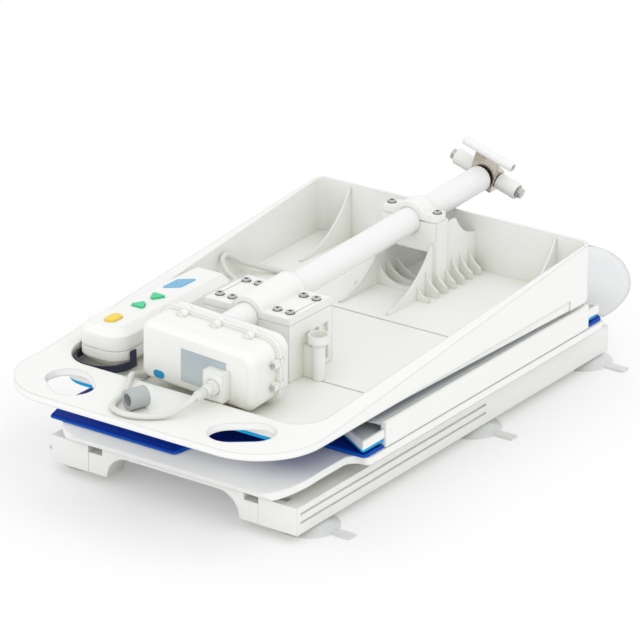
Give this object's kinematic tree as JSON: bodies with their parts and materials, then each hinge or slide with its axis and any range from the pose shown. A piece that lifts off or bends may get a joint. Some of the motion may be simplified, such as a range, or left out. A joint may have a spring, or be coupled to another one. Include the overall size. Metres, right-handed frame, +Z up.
{
  "type": "bath lift",
  "caption": "Folding bath lift, folded flat: scissor base on suction cups, seat with side flaps, and a backrest that carries a spindle drive, a T-bar and a corded handset.",
  "frame": {"origin": "on the floor, under the middle of the folded lift's box", "axes": "+Z up, -Y towards the front edge of the seat, +X to the right as seen from the front"},
  "size_m": [0.37, 0.6501, 0.2216],
  "materials": {
    "white_shell": "moulded, satin",
    "white_seat": "moulded, satin",
    "white_base": "moulded, fine texture",
    "white_tube": "powder coat, satin",
    "glide": "turned, plain",
    "cup": "smooth, milky",
    "arm_metal": "anodised",
    "steel": "zinc plated",
    "bracket_steel": "polished sheet",
    "blue_cover": "coated cloth over foam",
    "white_fabric": "coated cloth",
    "bush": "plain",
    "motor_metal": "plain",
    "worm_wheel": "plain",
    "nut_brass": "turned",
    "plate": "plain printed foil, left blank",
    "badge": "plain",
    "board": "plain",
    "battery": "plain",
    "stop_yellow": "moulded",
    "arrow_green": "moulded",
    "hanger": "moulded",
    "cord": "smooth",
    "plug": "moulded",
    "connector": "moulded"
  },
  "bodies": {
    "base": {"rail_left": "white_base", "rail_right": "white_base", "front_beam": "white_base", "rear_beam": "white_base", "suction_cups": "cup", "base_pivot_pins": "steel"},
    "outer_arms": {"outer_arms": "arm_metal", "upper_glides": "glide", "centre_pins": "steel"},
    "inner_arms": {"inner_arms": "arm_metal", "inner_axle": "steel", "lower_glides": "glide"},
    "seat": {"seat_plate": "white_seat", "seat_runners": "white_seat", "seat_pivot_pins": "steel", "seat_cover": "blue_cover", "hinge_pins": "steel"},
    "flap_left": {"flap_left": "white_seat", "flap_left_cover": "blue_cover"},
    "flap_right": {"flap_right": "white_seat", "flap_right_cover": "blue_cover"},
    "backrest": {"backrest_shell": "white_shell", "backrest_cover": "blue_cover", "cover_bridge": "white_fabric", "upper_clamp_base": "white_shell", "upper_clamp_cap": "white_shell", "lower_clamp_cap": "white_shell", "clamp_screws": "steel", "actuator_tube": "white_tube", "tube_end_bush": "bush", "motor_cover": "white_shell", "motor_housing": "white_shell", "housing_screws": "steel", "drive_motor": "motor_metal", "drive_worm": "steel", "spindle_bearing": "steel", "rating_plate": "plate", "blue_badge": "badge", "handset_lower": "white_shell", "handset_upper": "white_shell", "handset_board": "board", "handset_battery": "battery", "cable": "cord", "cable_plug": "plug", "inline_connector": "connector"},
    "spindle": {"spindle": "steel", "worm_wheel": "worm_wheel"},
    "rod": {"piston_rod": "steel", "spindle_nut": "nut_brass", "rod_end_nut": "steel"},
    "t_bar": {"t_bracket": "bracket_steel", "t_axle": "steel", "axle_nuts": "steel", "cross_tube": "white_tube"},
    "roller_left": {"roller_left": "glide"},
    "roller_right": {"roller_right": "glide"},
    "button_stop": {"button_stop": "stop_yellow"},
    "button_up": {"button_up": "arrow_green"},
    "button_down": {"button_down": "arrow_green"},
    "hanger": {"handset_hanger": "hanger"}
  },
  "joints": [
    {"name": "seat_lift", "type": "hinge", "parent": "base", "child": "outer_arms", "pos_m": [0, 0.262, 0.024], "axis": [-1, 0, 0], "range_deg": [0, 54]},
    {"name": "arms_cross", "type": "hinge", "parent": "outer_arms", "child": "inner_arms", "pos_m": [0, 0.04213, 0.03168], "axis": [-1, 0, 0], "range_deg": [-108, 0]},
    {"name": "seat_level", "type": "hinge", "parent": "inner_arms", "child": "seat", "pos_m": [0, 0.262, 0.03936], "axis": [-1, 0, 0], "range_deg": [0, 54]},
    {"name": "flap_right_play", "type": "hinge", "parent": "seat", "child": "flap_right", "pos_m": [0.161, 0, 0.0675], "axis": [0, 1, 0], "range_deg": [0, 3]},
    {"name": "flap_left_play", "type": "hinge", "parent": "seat", "child": "flap_left", "pos_m": [-0.161, 0, 0.0675], "axis": [0, -1, 0], "range_deg": [0, 3]},
    {"name": "backrest_fold", "type": "hinge", "parent": "seat", "child": "backrest", "pos_m": [0, 0.258, 0.088], "axis": [-1, 0, 0], "range_deg": [0, 95], "deforming": ["cover_bridge"]},
    {"name": "rod_slide", "type": "slide", "parent": "backrest", "child": "rod", "axis": [0, 0.999, 0.0445], "range_m": [0, 0.15]},
    {"name": "spindle_spin", "type": "hinge", "parent": "backrest", "child": "spindle", "pos_m": [0, -0.17, 0.1581], "axis": [0, 0.999, 0.0445], "range_deg": [0, 5400.1]},
    {"name": "t_bar_swivel", "type": "hinge", "parent": "rod", "child": "t_bar", "pos_m": [0, 0.28655, 0.17843], "axis": [0, 0.999, 0.0445], "range_deg": [-63, 27]},
    {"name": "roller_left_spin", "type": "hinge", "parent": "t_bar", "child": "roller_left", "pos_m": [0, 0.29854, 0.17897], "axis": [0.9511, 0.0137, -0.3087], "continuous": true},
    {"name": "roller_right_spin", "type": "hinge", "parent": "t_bar", "child": "roller_right", "pos_m": [0, 0.29854, 0.17897], "axis": [0.9511, 0.0137, -0.3087], "continuous": true},
    {"name": "button_stop_press", "type": "slide", "parent": "backrest", "child": "button_stop", "axis": [0, 0, -1], "range_m": [0, 0.0015], "stiffness_N_per_m": 600},
    {"name": "button_up_press", "type": "slide", "parent": "backrest", "child": "button_up", "axis": [0, 0, -1], "range_m": [0, 0.0015], "stiffness_N_per_m": 600},
    {"name": "button_down_press", "type": "slide", "parent": "backrest", "child": "button_down", "axis": [0, 0, -1], "range_m": [0, 0.0015], "stiffness_N_per_m": 600},
    {"name": "hanger_swing", "type": "hinge", "parent": "backrest", "child": "hanger", "pos_m": [-0.1215, -0.198, 0.118], "axis": [-1, 0, 0], "range_deg": [0, 60]}
  ],
  "couplings": [
    {"joint": "arms_cross", "follows": "seat_lift", "ratio": -2},
    {"joint": "seat_level", "follows": "seat_lift", "ratio": 1},
    {"joint": "spindle_spin", "follows": "rod_slide", "rad_per_m": 628.32}
  ]
}
